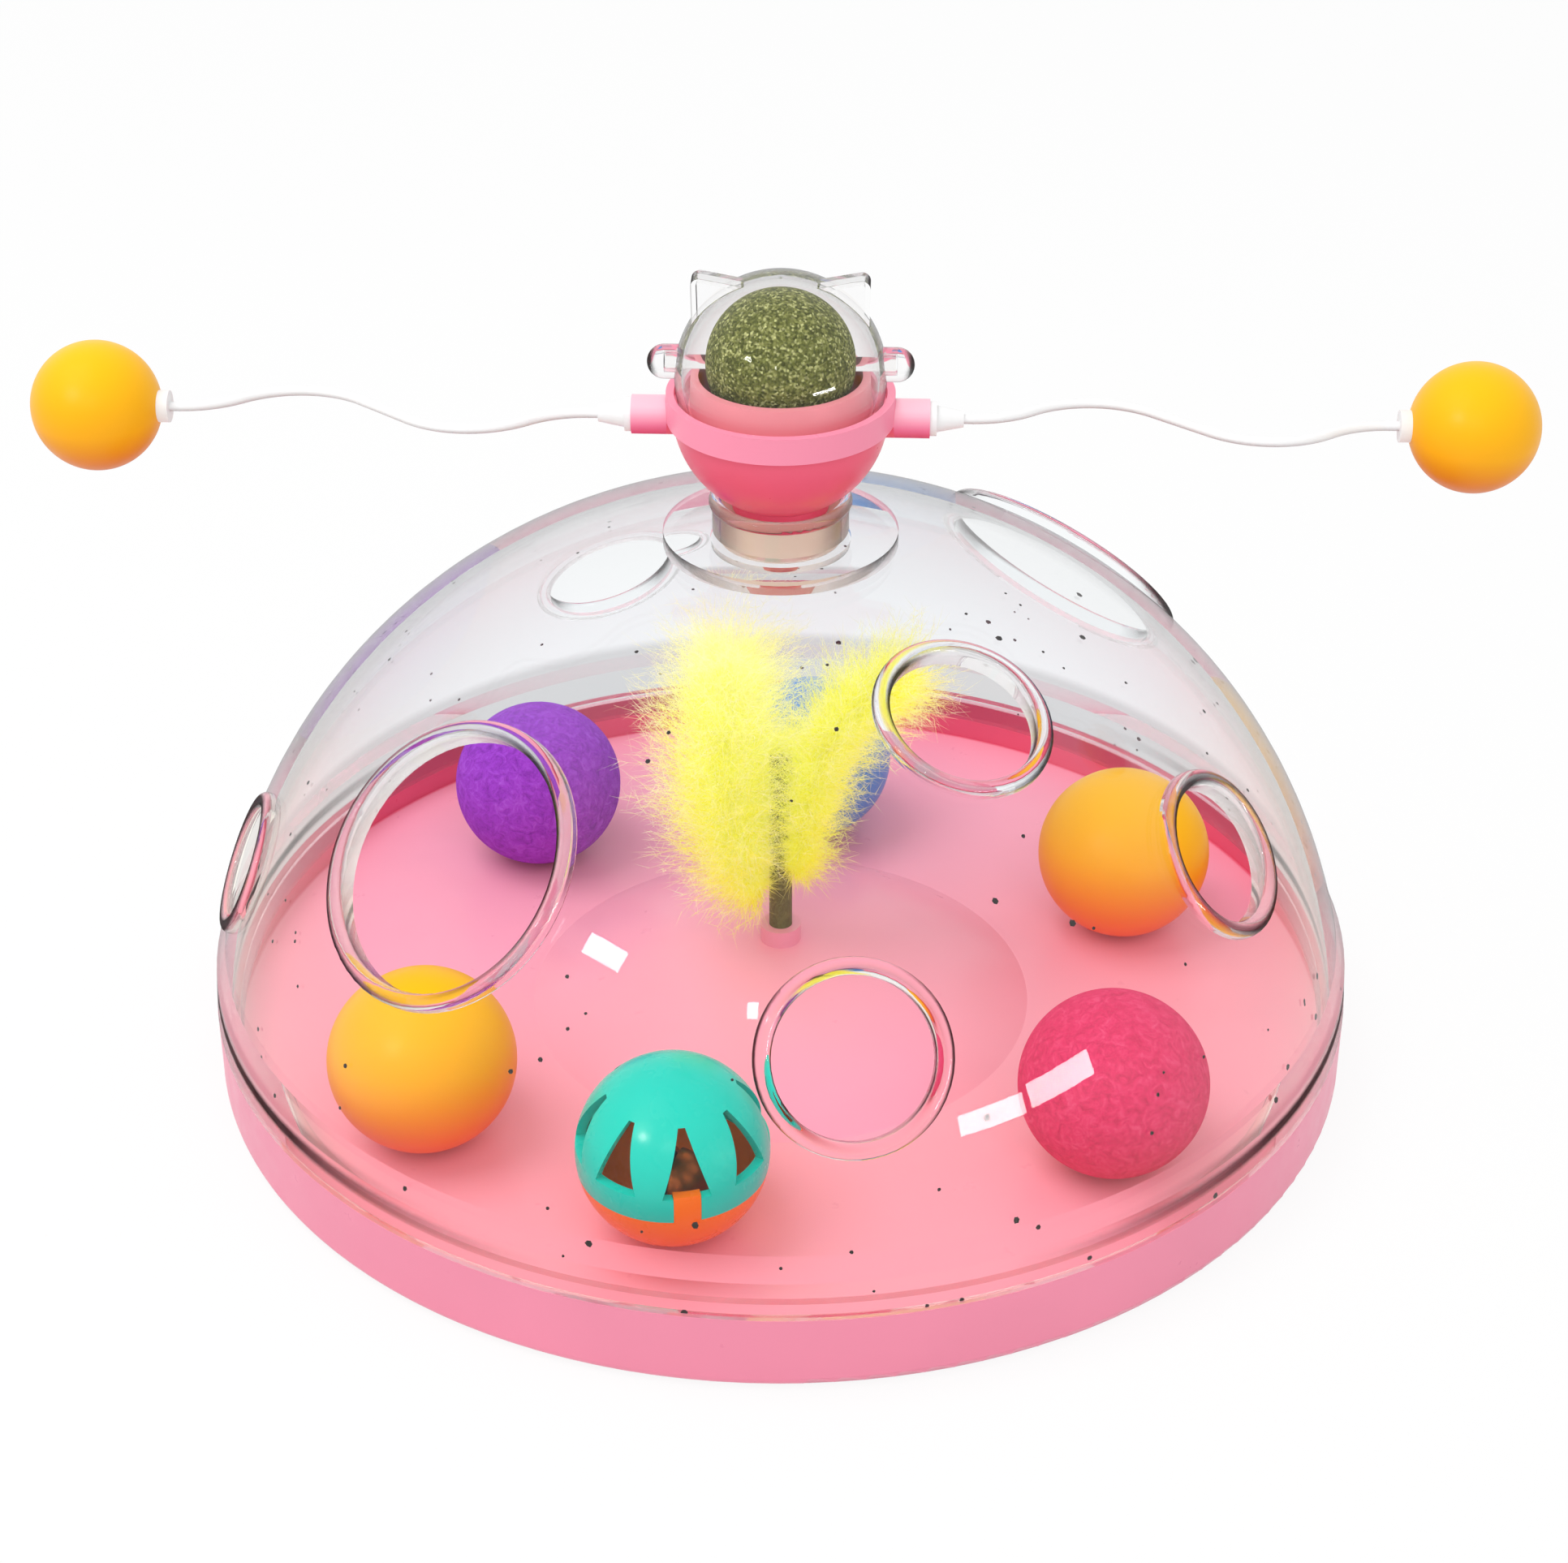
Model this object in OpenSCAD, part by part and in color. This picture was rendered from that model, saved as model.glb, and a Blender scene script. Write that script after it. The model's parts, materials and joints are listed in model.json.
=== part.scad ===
// Cat track ball toy: a pink tray with loose balls and a feather under a clear
// dome with paw holes, and a spinner with a catnip ball and two ball arms on top.
// Millimetres, +Z up, origin on the table at the middle of the tray.
// The view from -Y is the front.

/* [Tray] */
// Outside radius of the tray
tray_r = 128; // [116:1:140]
// Height of the rim above the table
tray_h = 18; // [15:0.5:24]
// Thickness of the tray's outer wall
tray_wall = 2.6; // [2:0.1:4]
// Height of the track floor above the table
floor_z = 7; // [5.5:0.5:8.5]
// Thickness of the track floor
floor_t = 2.6; // [2:0.1:3]
// Radius of the rounded bottom edge
edge_r = 2.5; // [1:0.1:4]
// Radius of the middle mound at its foot
mound_r = 57; // [46:1:58]
// Height of the mound above the track floor
mound_h = 15; // [10:0.5:16]
// Radius of the socket boss on the mound
boss_r = 4.6; // [3.8:0.1:7]
// Height of the socket boss above the mound
boss_h = 4; // [3:0.5:10]
// Depth of the socket for the feather stick
socket_depth = 5; // [4:0.5:5.5]
// Number of ribs under the floor
rib_count = 8; // [4:4:16]
// Thickness of a rib
rib_t = 2; // [1.2:0.1:3]

/* [Feet] */
// Radius of an anti-slip pad
pad_r = 7; // [5:0.5:9]
// Thickness of an anti-slip pad
pad_t = 2; // [1.4:0.1:2.8]
// How far a pad stands out of the tray
pad_proud = 0.6; // [0.3:0.1:1]
// Radius of the circle that the pads lie on
pad_ring_r = 105; // [80:1:108]
// Number of pads
pad_count = 4; // [3:1:6]

/* [Dome] */
// How far the foot of the dome's arc stands in from the tray's edge
dome_ledge = 0.4; // [0.2:0.1:1.5]
// Rise of the dome's outline above the tray's rim
dome_rise = 107; // [98:0.5:112]
// How far the centre of the dome's arc lies off the axis
dome_x = 6.7; // [4:0.1:9]
// Height of the thick skirt at the dome's foot
skirt_h = 8.8; // [6:0.1:10]
// How far the skirt draws in over its height
skirt_draft = 0.6; // [0.3:0.1:0.9]
// Height of the slope from the skirt to the dome's wall
skirt_slope_h = 6.7; // [5:0.1:8]
// Thickness of the dome's wall
dome_wall = 2.8; // [2:0.1:3.4]
// Thickness of the ledge that ties the lip to the skirt
ledge_t = 2.2; // [1.6:0.1:3]
// Depth of the lip that reaches down inside the tray's wall
lip_depth = 4; // [2:0.5:6]
// Thickness of that lip
lip_t = 2.6; // [1.8:0.1:3.4]
// Gap between the lip and the tray's wall
lip_gap = 0.3; // [0.2:0.05:0.8]
// Gap left under parts that rest on a seat
seat_gap = 0.1; // [0.05:0.05:0.3]

/* [Paw holes] */
// Radius of a large paw hole
large_hole_r = 27; // [22:0.5:29]
// Radius of a small paw hole
small_hole_r = 15.5; // [12:0.5:16.5]
// Width of the raised rim round a hole
rim_w = 3.6; // [2.6:0.1:4]
// Height of a large hole's rim above the dome
large_rim_h = 3; // [2.5:0.1:5]
// Height of a small hole's rim above the dome
small_rim_h = 2.4; // [2:0.1:4]

/* [Neck] */
// Radius of the raised disc round the neck
crown_disc_r = 25; // [20:0.5:30]
// Height of the disc's face above the dome's outline
crown_disc_h = 1.7; // [1:0.1:3]
// Outside radius of the neck collar
collar_r = 14.5; // [14:0.1:17]
// Height of the collar's lip above the disc
collar_h = 8; // [7:0.1:12]
// Radius of the rolled lip's round edge
lip_round_r = 1.4; // [1:0.1:1.6]
// Radius of the bush in the collar
bush_r = 12.9; // [12:0.1:13.2]
// Height of the bush
bush_h = 9.9; // [8.5:0.1:10.4]
// How far the bush is sunk below the disc
bush_sink = 5; // [3:0.1:6]
// Thickness of the ledge that the bush stands on
bush_ledge_t = 1.6; // [1.2:0.1:2.4]
// Radius of the hole through that ledge
crown_hole_r = 8; // [6:0.5:10]
// Running clearance of a pin in its hole
run_fit = 0.05; // [0.02:0.01:0.1]

/* [Spinner bowl] */
// Radius of the bowl's round underside
bowl_r = 22.6; // [21:0.1:23]
// How far the band round the mouth stands out from the bowl
band_step = 1.2; // [0.8:0.1:2]
// Height of the band
band_h = 5.7; // [5:0.1:8]
// Height of the bowl's mouth above the disc
mouth_h = 31.5; // [30:0.1:36]
// How far the round underside's centre lies below the mouth
bowl_drop = 3.8; // [3:0.1:5]
// Thickness of the bowl's wall
bowl_wall = 2.4; // [1.8:0.1:2.8]
// Radius of the foot that turns in the collar
foot_r = 10.2; // [8:0.1:11]
// Radius of the split stem
stem_r = 3; // [2.5:0.1:4]
// Radius of the snap barb on the stem's end
barb_r = 3.9; // [3.5:0.1:5]
// Length of the snap barb
barb_len = 6; // [4:0.5:8]
// Width of the slot that splits the stem
slot_w = 1.2; // [0.8:0.1:1.6]
// Turn of the spinner about its axis at rest, in degrees
rest_turn = -2.2; // [-10:0.1:10]

/* [Catnip ball] */
// How far the catnip ball is smaller than the cradle's ring
catnip_inset = 3.7; // [3.2:0.1:5]
// Height of the ball's axle above the bowl's mouth
axle_rise = 6.3; // [6:0.1:8]
// Radius of the axle
axle_r = 1.5; // [1:0.1:2]
// Room round the ball inside its cradle
cup_gap = 1.5; // [1:0.1:1.8]
// How far the cradle's raised ring stands in from its edge
ring_inset = 0.9; // [0.8:0.1:1.4]
// Height of the ring above the bowl's mouth
ring_rise = 4; // [2.5:0.1:4.2]
// How far the ring draws in over its height
ring_draft = 0.6; // [0.3:0.1:0.9]

/* [Cover] */
// How far the clear cover is smaller than the bowl
cover_step = 0.6; // [0.4:0.1:0.8]
// Thickness of the cover's wall
cover_wall = 1.5; // [1.2:0.1:1.6]
// Depth of the cover's seat below the bowl's mouth
cover_seat = 2.6; // [1.5:0.1:2.7]
// Gap between the cover and the bowl's band
cover_gap = 0.4; // [0.3:0.1:0.6]
// Height of the middle of the cover's round top above the bowl's mouth
cover_rise = 3.4; // [3:0.1:4]
// Radius of a cat ear's round tip
tip_r = 1.8; // [1.2:0.1:2.4]
// Depth of a cat ear from front to back
cat_ear_t = 5; // [4:0.1:6]
// Thickness of a hollow cat ear's wall
cat_ear_wall = 1.1; // [0.8:0.1:1.2]
// Radius of a side knob
knob_r = 3.6; // [2.6:0.1:4.5]
// Length of a side knob beyond the cover
knob_len = 5.6; // [4.6:0.1:9]

/* [Arms] */
// Distance of a stub's end from the spinner's axis
stub_x = 31; // [28:0.5:36]
// Radius of a stub
stub_r = 4.1; // [3.5:0.1:5]
// How far the arms lie below the bowl's mouth
arm_drop = 5.7; // [4.5:0.1:7]
// Radius of a plug's tail in its stub
tail_r = 2.5; // [2:0.1:3]
// Length of a plug's tail
tail_len = 6; // [4:0.5:7]
// Radius of a plug's flange
plug_flange_r = 3.6; // [3:0.1:4]
// Length of a plug's taper
taper_len = 5.6; // [4:0.1:8]
// Radius of the coated wire
wire_r = 1; // [0.8:0.1:1.6]
// Side swing of the wire's S bend
swing = 8.8; // [5:0.1:12]
// Distance of a spinner ball's centre from the axis
ball_x = 143.3; // [125:0.1:160]
// Radius of a spinner ball
spin_ball_r = 13.6; // [10:0.1:16]
// Radius of the collar on a spinner ball
hub_r = 3.35; // [2.8:0.05:5]
// Thickness of that collar
hub_t = 1.9; // [1.4:0.1:3]

/* [Track balls] */
// Radius of a track ball
track_ball_r = 20; // [17:0.1:21]
// Gap between a track ball and the floor
roll_gap = 0.3; // [0.2:0.05:0.5]
// Wall of the hollow plastic balls
ball_wall = 1.2; // [0.8:0.1:2]
// Wall of the bell ball's two halves
bell_wall = 2; // [1.4:0.1:2.6]
// Number of windows in the bell ball's upper half
window_count = 8; // [4:1:9]
// Width of the orange tab that rises in a window
tab_w = 5.5; // [4:0.1:6.5]
// Radius of the jingle bell inside
jingle_r = 8; // [6:0.1:9]
// Radius of the pellet in the jingle bell
pellet_r = 2.5; // [1.5:0.1:3]

/* [Feather] */
// Radius of the feather stick
stick_r = 2.6; // [2:0.1:3.2]
// Height of the stick's top above the mound
stick_rise = 48; // [40:1:60]
// Length of the left tuft
tuft_left_len = 79; // [60:1:80]
// Length of the right tuft
tuft_right_len = 71; // [50:1:80]
// Greatest width of a tuft
tuft_w = 25; // [16:1:26]
// Lean of the left tuft, in degrees
lean_left = 6; // [5:1:20]
// Lean of the right tuft, in degrees
lean_right = 19; // [15:1:32]

/* [Hidden] */
$fn = 96;
eps = 0.01;

// Tray
tray_in_r = tray_r - tray_wall;
under_z = floor_z - floor_t;
rib_gap = 1;
rib_z = pad_proud + rib_gap;
mound_top = floor_z + mound_h;
mound_big_r = (mound_r * mound_r + mound_h * mound_h) / (2 * mound_h);
mound_c = mound_top - mound_big_r;
boss_top = mound_top + boss_h;
socket_r = stick_r + run_fit;
socket_z = boss_top - socket_depth;

// Dome outline: one arc whose centre lies off the axis
dome_z = tray_h + seat_gap;
dome_top = dome_z + dome_rise;
dome_r = tray_r - dome_ledge;
dome_arc_r = ((dome_r - dome_x) * (dome_r - dome_x) + dome_rise * dome_rise) / (2 * dome_rise);
dome_c = dome_top - dome_arc_r;
skirt_z = dome_z + skirt_h;
slope_z = skirt_z + skirt_slope_h;
lip_r = tray_in_r - lip_gap;
lip_top = dome_z + ledge_t;

// Paw holes as [turn about the axis, slope of the hole's axis, radius, height of the rim]
paw_holes = [
    [-135.2, 42.9, large_hole_r, large_rim_h],
    [46.5, 41, large_hole_r, large_rim_h],
    [-82.6, 31.9, 1.04 * small_hole_r, small_rim_h],
    [-28.7, 37.1, 0.955 * small_hole_r, small_rim_h],
    [-54.8, 62, small_hole_r, small_rim_h],
    [113, 30.8, 1.06 * small_hole_r, small_rim_h],
    [-173, 23.4, 0.81 * small_hole_r, small_rim_h],
];

// Neck and spinner
dome_apex = dome_top + crown_disc_h;
crown_seat_z = dome_apex - bush_sink;
bush_top = crown_seat_z + bush_h;
bush_bore_r = stem_r + run_fit;
collar_in_r = bush_r + run_fit;
well_r = collar_in_r + 2;
well_z = crown_seat_z - bush_ledge_t;
collar_top = dome_apex + collar_h;
turn_gap = 0.3;
foot_z = bush_top + turn_gap;
mouth_z = dome_apex + mouth_h;
bowl_z = mouth_z - bowl_drop;
bowl_in_r = bowl_r - bowl_wall;
band_r = bowl_r + band_step;
bowl_floor_z = foot_z + bowl_wall;
barb_z = crown_seat_z - turn_gap;
stem_end_z = barb_z - barb_len;
barb_tip_r = stem_r - 0.6;

// Catnip ball and its cover
axle_z = mouth_z + axle_rise;
cradle_r = bowl_in_r - seat_gap;
ring_r = cradle_r - ring_inset;
catnip_r = ring_r - catnip_inset;
cup_r = catnip_r + cup_gap;
cradle_floor_t = 1.6;
cradle_floor_z = axle_z - cup_r;
cradle_bottom = cradle_floor_z - cradle_floor_t;
ring_top = mouth_z + ring_rise;
cover_seat_z = mouth_z - cover_seat;
cover_r = bowl_r - cover_step;
cover_bore_r = sqrt(cover_r * cover_r - cover_rise * cover_rise) + cover_gap;
cover_c = mouth_z + cover_rise;
cover_in_r = cover_r - cover_wall;
knob_c = cover_r + knob_len - knob_r;
axle_half = knob_c - turn_gap;

// Cat ear outline in the XZ plane: two base points inside the cover's wall and a round tip
cat_ear_outer = [cover_in_r * cos(28), cover_in_r * sin(28)];
cat_ear_inner = [cover_in_r * cos(76), cover_in_r * sin(76)];
cat_ear_tip = [cover_r * 0.75, cover_r * 0.92];

// Arms
arm_z = mouth_z - arm_drop;
plug_flange_t = 1.4;
taper_start = stub_x + plug_flange_t;
taper_end = taper_start + taper_len;
taper_r = wire_r + 1.8;
taper_tip_r = wire_r + 0.7;
wire_start = stub_x - tail_len + 1;
bend_start = taper_end + 0.3;
bend_end = ball_x - spin_ball_r - hub_t - 0.3;
wire_end = ball_x - spin_ball_r + 4;
// S bend: four arcs and a slanted run; the arcs' reach is chosen so that the run closes the bend
bend_len = bend_end - bend_start;
arc_reach = bend_len * 0.14;
bead_r = wire_r + 0.03;
half_turn = atan(swing / 2 / arc_reach);
bend_angle = 2 * half_turn;
arc_r = arc_reach / sin(bend_angle);
run_len = swing / sin(bend_angle);
bend_reach = 6 * arc_reach + run_len * cos(bend_angle);
lead_len = (bend_len - bend_reach) / 2;
hub_tail_r = 2.2;
hub_tail_len = 6;
plug_fit = 0.05;

// Track balls as [part of the tray's inside radius, turn about the axis]
ball_z = floor_z + roll_gap + track_ball_r;
yellow_front_at = [0.745, -144.6];
yellow_right_at = [0.683, 19.1];
magenta_at = [0.749, -41.9];
purple_at = [0.671, 134.8];
blue_at = [0.581, 84.3];
bell_at = [0.698, -104.6];

// Bell ball
bell_in_r = track_ball_r - bell_wall;
bell_split = -3.5;
band_top = 2.2;
window_low_w = 10;
window_top_w = 1.4;
window_rise = 15;
first_window = 25;
tab_rise = 0.6;
tab_root = 1;
jingle_wall = 1;
jingle_rest = 0.3;
jingle_z = -bell_in_r + jingle_rest + jingle_r;
pellet_z = jingle_z - jingle_r + jingle_wall + jingle_rest + pellet_r;

// Feather
stick_z = socket_z + roll_gap;
stick_top = mound_top + stick_rise;
tuft_foot_z = boss_top + 2;
tuft_foot_x = 5;

// Colours
pink = [0.96, 0.60, 0.68];
clear = [0.90, 0.92, 0.93, 0.35];
yellow = [1.0, 0.74, 0.12];
white = [0.95, 0.95, 0.95];

// Point of the dome's outline where its outward normal rises by slope
function outline_at(slope) = [dome_x + dome_arc_r * cos(slope), dome_c + dome_arc_r * sin(slope)];

// Radius of the dome's outline at a height
function outline_r(z) = dome_x + sqrt(dome_arc_r * dome_arc_r - (z - dome_c) * (z - dome_c));

// How far the dome falls away from its tangent plane at distance r
function sag(r) = dome_arc_r - sqrt(dome_arc_r * dome_arc_r - r * r);

// Point where a line from p touches a circle of radius r about c; side picks the line
function touch(p, c, r, side) =
    let (v = p - c, d = norm(v), a = atan2(v.y, v.x) + side * acos(r / d))
    c + r * [cos(a), sin(a)];

// Half outline of the dome above a height, drawn in by inset
module dome_outline(inset, low) {
    intersection() {
        translate([dome_x, dome_c])
            circle(dome_arc_r - inset);
        translate([0, low])
            square([dome_r, dome_rise]);
    }
}

// Half outline of the thick skirt at the dome's foot; its slope runs into the dome's wall
module skirt_outline() {
    slope_r = outline_r(slope_z) - dome_wall / 8;
    polygon([[0, dome_z], [tray_r, dome_z], [tray_r - skirt_draft, skirt_z],
             [slope_r, slope_z], [0, slope_z]]);
}

// Places a child on the dome with its +Z along the dome's outward normal
module on_dome(turn, slope) {
    p = outline_at(slope);
    rotate([0, 0, turn])
        translate([p.x, 0, p.y])
            rotate([0, 90 - slope, 0])
                children();
}

// Places a child on the spinner, turned as it rests
module on_spinner() {
    rotate([0, 0, rest_turn])
        children();
}

// Places a child on the right arm, or on the left one
module on_arm(right) {
    on_spinner()
        rotate([0, 0, right ? 0 : 180])
            translate([0, 0, arm_z])
                children();
}

// Cylinder along +X from x0 to x1
module rod(x0, x1, r, r_end = -1) {
    translate([x0, 0, 0])
        rotate([0, 90, 0])
            cylinder(h = x1 - x0, r1 = r, r2 = r_end < 0 ? r : r_end);
}

// Half section of the tray without its ribs
module tray_section() {
    side_z = pad_proud + edge_r;
    difference() {
        union() {
            difference() {
                union() {
                    translate([0, pad_proud])
                        square([tray_r - edge_r, tray_h - pad_proud]);
                    translate([0, side_z])
                        square([tray_r, tray_h - side_z]);
                    translate([tray_r - edge_r, side_z])
                        circle(edge_r);
                }
                translate([-1, floor_z])
                    square([tray_in_r + 1, tray_h]);
                translate([-1, -1])
                    square([tray_in_r + 1, under_z + 1]);
            }
            intersection() {
                translate([0, mound_c])
                    circle(mound_big_r, $fn = 360);
                translate([0, under_z])
                    square([mound_r + floor_t, mound_top]);
            }
        }
        translate([0, mound_c])
            circle(mound_big_r - floor_t, $fn = 360);
        translate([-tray_r, -1])
            square([tray_r, 2 * tray_h + mound_h]);
    }
}

module pad_places() {
    for (i = [0 : pad_count - 1])
        rotate([0, 0, 45 + i * 360 / pad_count])
            translate([pad_ring_r, 0, 0])
                children();
}

module base_tray() {
    pocket_r = pad_r + run_fit;
    color(pink)
    difference() {
        union() {
            rotate_extrude($fn = 180)
                tray_section();
            translate([0, 0, mound_top - floor_t])
                cylinder(h = floor_t + boss_h, r = boss_r);
            translate([0, 0, rib_z])
                difference() {
                    cylinder(h = under_z - rib_z + eps, r = mound_r + rib_t);
                    translate([0, 0, -1])
                        cylinder(h = floor_z, r = mound_r);
                }
            for (i = [0 : rib_count - 1])
                rotate([0, 0, i * 360 / rib_count])
                    translate([mound_r + rib_t / 2, -rib_t / 2, rib_z])
                        cube([tray_in_r - mound_r, rib_t, under_z - rib_z + eps]);
            pad_places()
                translate([0, 0, pad_proud])
                    cylinder(h = under_z - pad_proud + eps, r = pad_r + 1.6);
        }
        translate([0, 0, socket_z])
            cylinder(h = socket_depth + 1, r = socket_r);
        pad_places()
            cylinder(h = pad_t, r = pocket_r);
    }
}

module anti_slip_feet() {
    color([0.85, 0.85, 0.85])
    pad_places()
        cylinder(h = pad_t, r = pad_r);
}

// Raised rim with a half-round edge; z = 0 touches the dome in the hole's middle
module hole_rim(r, h) {
    top = h - sag(r + rim_w / 2) - rim_w / 2;
    foot = -dome_wall - 1.2 * sag(r + rim_w);
    rotate_extrude() {
        translate([r - eps, foot])
            square([rim_w + eps, top - foot]);
        translate([r + rim_w / 2, top])
            circle(rim_w / 2, $fn = 32);
    }
}

// Cutter for a hole, long enough to clear the rim and the wall
module hole_cut(r) {
    deep = 3 * dome_wall + 2 * sag(r);
    translate([0, 0, -deep])
        cylinder(h = 2 * deep, r = r);
}

module dome_shell() {
    disc_z = dome_top - 3 * dome_wall;
    lip_in_r = lip_r - lip_t;
    color(clear)
    difference() {
        union() {
            rotate_extrude($fn = 180) {
                dome_outline(0, dome_z);
                skirt_outline();
            }
            for (h = paw_holes)
                on_dome(h[0], h[1])
                    hole_rim(h[2], h[3]);
            translate([0, 0, dome_z - lip_depth])
                cylinder(h = lip_depth + ledge_t / 2, r = lip_r, $fn = 180);
            translate([0, 0, disc_z])
                cylinder(h = dome_apex - disc_z, r = crown_disc_r);
            translate([0, 0, disc_z])
                cylinder(h = dome_apex + collar_h - lip_round_r - disc_z, r = collar_r);
            translate([0, 0, collar_top - lip_round_r])
                rotate_extrude()
                    translate([collar_r - lip_round_r / 2, 0])
                        circle(lip_round_r, $fn = 32);
        }
        rotate_extrude($fn = 180)
            difference() {
                dome_outline(dome_wall, lip_top);
                translate([-1, well_z])
                    square([well_r + 1, dome_wall + bush_sink]);
            }
        translate([0, 0, dome_z - 2 * lip_depth])
            cylinder(h = ledge_t + 2 * lip_depth + eps, r = lip_in_r, $fn = 180);
        for (h = paw_holes)
            on_dome(h[0], h[1])
                hole_cut(h[2]);
        translate([0, 0, crown_seat_z])
            cylinder(h = 2 * collar_h, r = collar_in_r);
        translate([0, 0, dome_top / 2])
            cylinder(h = dome_top, r = crown_hole_r);
    }
}

module neck_bush() {
    color([0.85, 0.75, 0.66])
    translate([0, 0, crown_seat_z])
        difference() {
            cylinder(h = bush_h, r = bush_r);
            translate([0, 0, -1])
                cylinder(h = bush_h + 2, r = bush_bore_r);
        }
}

// Half section of the bowl without its stubs
module bowl_section() {
    difference() {
        union() {
            translate([0, bowl_z])
                circle(bowl_r);
            translate([0, mouth_z - band_h])
                square([band_r, band_h]);
            translate([0, foot_z])
                square([foot_r, bowl_z - foot_z]);
        }
        intersection() {
            translate([0, bowl_z])
                circle(bowl_in_r);
            translate([0, bowl_floor_z])
                square([bowl_r, bowl_z - bowl_floor_z + eps]);
        }
        translate([0, bowl_z])
            square([bowl_in_r, bowl_r]);
        translate([0, cover_seat_z])
            square([cover_bore_r, bowl_r]);
        translate([0, mouth_z])
            square([band_r, bowl_r]);
        translate([-bowl_r, foot_z - bowl_r])
            square([2 * bowl_r, bowl_r]);
        translate([-bowl_r, foot_z - eps])
            square([bowl_r, 3 * bowl_r]);
    }
}

module spinner_bowl() {
    color(pink)
    on_spinner()
    difference() {
        union() {
            rotate_extrude()
                bowl_section();
            for (side = [0, 180])
                rotate([0, 0, side])
                    translate([0, 0, arm_z])
                        rod(bowl_in_r + bowl_wall / 2, stub_x, stub_r);
            translate([0, 0, barb_z])
                cylinder(h = bowl_floor_z - barb_z, r = stem_r);
            translate([0, 0, stem_end_z])
                cylinder(h = barb_len, r1 = barb_tip_r, r2 = barb_r);
        }
        for (side = [0, 180])
            rotate([0, 0, side])
                translate([0, 0, arm_z])
                    rod(stub_x - tail_len, stub_x + 1, tail_r + plug_fit);
        translate([-stub_x / 2, -slot_w / 2, stem_end_z - 1])
            cube([stub_x, slot_w, bush_top - stem_end_z]);
    }
}

// Round insert that seats in the bowl, with a ring that rises round the ball
module catnip_cradle() {
    color(pink)
    on_spinner()
    difference() {
        union() {
            intersection() {
                translate([0, 0, bowl_z])
                    sphere(cradle_r);
                translate([0, 0, cradle_bottom])
                    cylinder(h = bowl_z - cradle_bottom, r = bowl_r);
            }
            translate([0, 0, bowl_z])
                cylinder(h = cover_seat_z - bowl_z, r = cradle_r);
            translate([0, 0, cover_seat_z - eps])
                cylinder(h = ring_top - cover_seat_z + eps, r1 = ring_r, r2 = ring_r - ring_draft);
        }
        translate([0, 0, cradle_floor_z])
            cylinder(h = 2 * cup_r, r = cup_r);
    }
}

module catnip_ball() {
    color([0.49, 0.51, 0.27])
    on_spinner()
    translate([0, 0, axle_z])
        difference() {
            sphere(catnip_r);
            rod(-bowl_r, bowl_r, axle_r);
        }
}

module catnip_axle() {
    color(clear)
    on_spinner()
    translate([0, 0, axle_z])
        rod(-axle_half, axle_half, axle_r);
}

// Two cat ears with round tips, standing across Y; inset makes the smaller form of their hollows
module cat_ears(inset) {
    outer_touch = touch(cat_ear_outer, cat_ear_tip, tip_r, 1);
    inner_touch = touch(cat_ear_inner, cat_ear_tip, tip_r, -1);
    outer_step = (cat_ear_tip - outer_touch) * inset / tip_r;
    inner_step = (cat_ear_tip - inner_touch) * inset / tip_r;
    for (side = [0, 1])
        mirror([side, 0, 0])
            translate([0, cat_ear_t / 2 - inset, 0])
                rotate([90, 0, 0])
                    linear_extrude(cat_ear_t - 2 * inset) {
                        translate(cat_ear_tip)
                            circle(tip_r - inset, $fn = 32);
                        polygon([cat_ear_outer + outer_step, outer_touch + outer_step, cat_ear_tip,
                                 inner_touch + inner_step, cat_ear_inner + inner_step]);
                    }
}

// Knobs along X, round at their ends
module side_knobs() {
    for (side = [0, 180])
        rotate([0, 0, side]) {
            rod(cover_in_r / 2, knob_c, knob_r);
            translate([knob_c, 0, 0])
                sphere(knob_r);
        }
}

// Clear cover; the catnip ball's axle turns in the bores of its knobs
module cat_ear_cover() {
    color(clear)
    on_spinner()
    difference() {
        union() {
            translate([0, 0, cover_c])
                sphere(cover_r);
            translate([0, 0, cover_c])
                cat_ears(0);
            translate([0, 0, axle_z])
                side_knobs();
        }
        translate([0, 0, cover_c]) {
            sphere(cover_in_r);
            cat_ears(cat_ear_wall);
        }
        translate([0, 0, cover_seat_z + seat_gap - 2 * cover_r])
            cylinder(h = 2 * cover_r, r = 2 * cover_r);
        translate([0, 0, axle_z])
            rod(-knob_c, knob_c, axle_r + run_fit);
    }
}

// One arc of the wire in the flat, from the origin along +X; turn is its angle, left or right
module wire_arc(turn) {
    side = turn > 0 ? 1 : -1;
    translate([0, side * arc_r, 0])
        mirror([0, side > 0 ? 0 : 1, 0])
            rotate([0, 0, -90])
                rotate_extrude(angle = abs(turn), $fn = 120)
                    translate([arc_r, 0])
                        circle(wire_r, $fn = 32);
}

// Moves a child to the end of an arc
module after_arc(turn) {
    side = turn > 0 ? 1 : -1;
    translate([arc_r * sin(abs(turn)), side * arc_r * (1 - cos(turn)), 0])
        rotate([0, 0, turn])
            children();
}

// Bead that closes the joint between two pieces of the wire
module bead() {
    sphere(bead_r, $fn = 48);
}

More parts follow.
